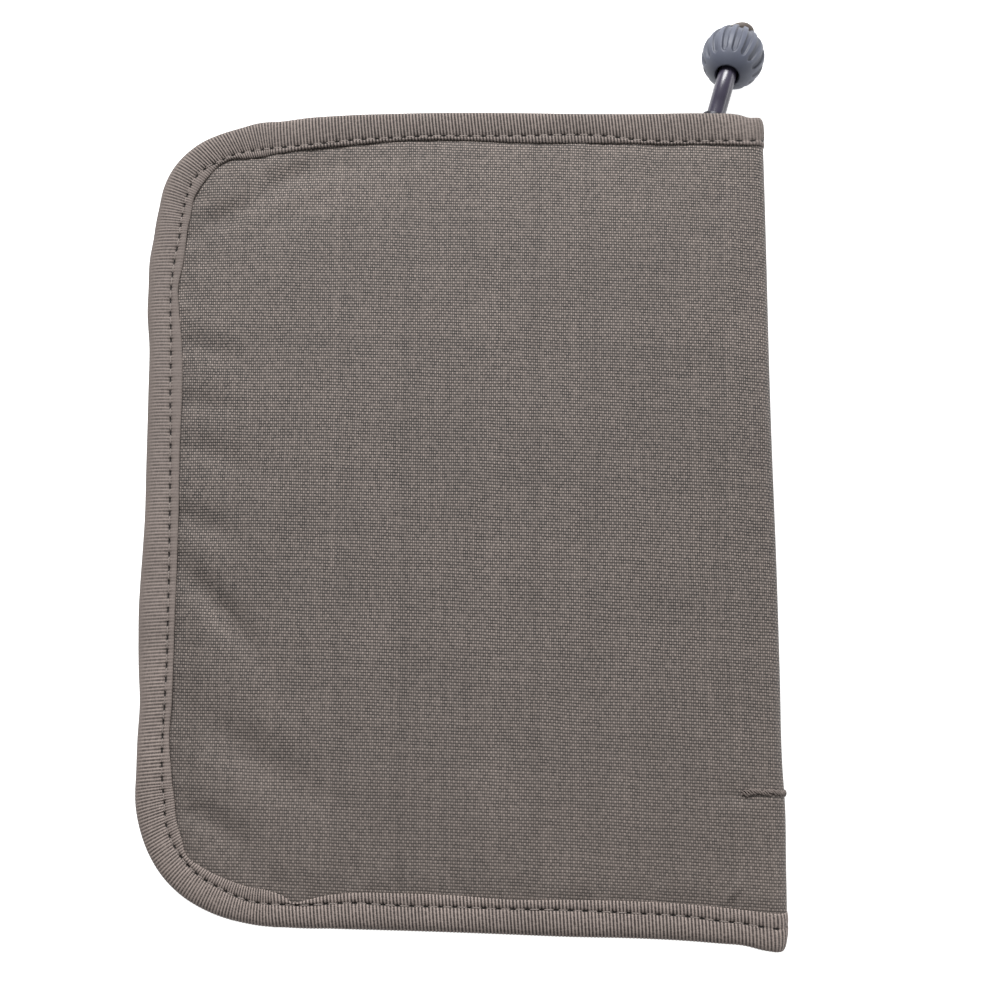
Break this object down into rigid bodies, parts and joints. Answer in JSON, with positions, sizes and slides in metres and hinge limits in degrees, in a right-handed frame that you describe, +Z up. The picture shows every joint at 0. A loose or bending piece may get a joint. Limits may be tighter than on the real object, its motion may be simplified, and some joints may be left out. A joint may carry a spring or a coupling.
{
  "type": "zip-around passport wallet",
  "caption": "Book-style travel wallet: two padded fabric covers on a soft spine, bound edges, a zip round the open sides with a ball-ended cord pull, and pockets inside.",
  "frame": {"origin": "middle of the closed wallet's footprint, on the surface that its back cover lies on", "axes": "+X towards the folded spine, +Y towards the end where the zip closes and its pull hangs out, +Z up through the front cover"},
  "size_m": [0.1357, 0.2028, 0.018],
  "materials": {
    "shell_fabric": "plain-weave nylon, matt with a slight sheen",
    "edge_binding": "ribbed grosgrain tape, matt",
    "foam": "soft foam sheet",
    "lining_fabric": "fine nylon taffeta",
    "zip_tape": "woven polyester tape",
    "zip_coil": "nylon coil",
    "slider_metal": "dark painted zinc, satin",
    "bright_metal": "bright plated steel",
    "clear_vinyl": "clear soft vinyl",
    "cord_sheath": "dark glossy cord",
    "ball_plastic": "moulded blue-grey plastic, matt",
    "knot_cord": "knotted cord end"
  },
  "bodies": {
    "back_cover": {"back_outer_panel": "shell_fabric", "back_foam": "foam", "back_lining": "lining_fabric", "back_edge_binding": "edge_binding", "back_zip_tape": "zip_tape", "back_zip_coil": "zip_coil", "back_zip_stops": "bright_metal", "document_sleeve": "lining_fabric", "document_sleeve_binding": "edge_binding", "passport_pocket": "lining_fabric", "passport_pocket_binding": "edge_binding"},
    "spine": {"spine_outer_panel": "shell_fabric", "spine_lining": "lining_fabric", "spine_binding_top": "edge_binding", "spine_binding_bottom": "edge_binding"},
    "front_cover": {"front_outer_panel": "shell_fabric", "front_foam": "foam", "front_lining": "lining_fabric", "front_edge_binding": "edge_binding", "front_zip_tape": "zip_tape", "front_zip_coil": "zip_coil", "front_zip_stops": "bright_metal", "card_slot_1": "lining_fabric", "card_slot_2": "lining_fabric", "card_slot_3": "lining_fabric", "id_window_frame": "lining_fabric", "id_window": "clear_vinyl", "pen_sleeve": "lining_fabric"},
    "zip_slider": {"slider_body": "slider_metal", "slider_crown": "slider_metal"},
    "zip_pull": {"pull_link": "bright_metal", "pull_ferrule": "slider_metal", "pull_cord": "cord_sheath", "pull_ball": "ball_plastic", "pull_knot": "knot_cord"}
  },
  "joints": [
    {"name": "spine_fold", "type": "hinge", "parent": "back_cover", "child": "spine", "pos_m": [0.067, 0, 0], "axis": [0, 1, 0], "range_deg": [0, 90]},
    {"name": "cover_fold", "type": "hinge", "parent": "spine", "child": "front_cover", "pos_m": [0.067, 0, 0.018], "axis": [0, 1, 0], "range_deg": [0, 90]},
    {"name": "zip_travel", "type": "slide", "parent": "back_cover", "child": "zip_slider", "axis": [1, 0, 0], "range_m": [-0.084, 0]},
    {"name": "pull_swing", "type": "hinge", "parent": "zip_slider", "child": "zip_pull", "pos_m": [0.0549, 0.08265, 0.009], "axis": [0, 0, 1], "range_deg": [-28, 65]}
  ],
  "couplings": [
    {"joint": "spine_fold", "follows": "cover_fold", "ratio": 1}
  ]
}
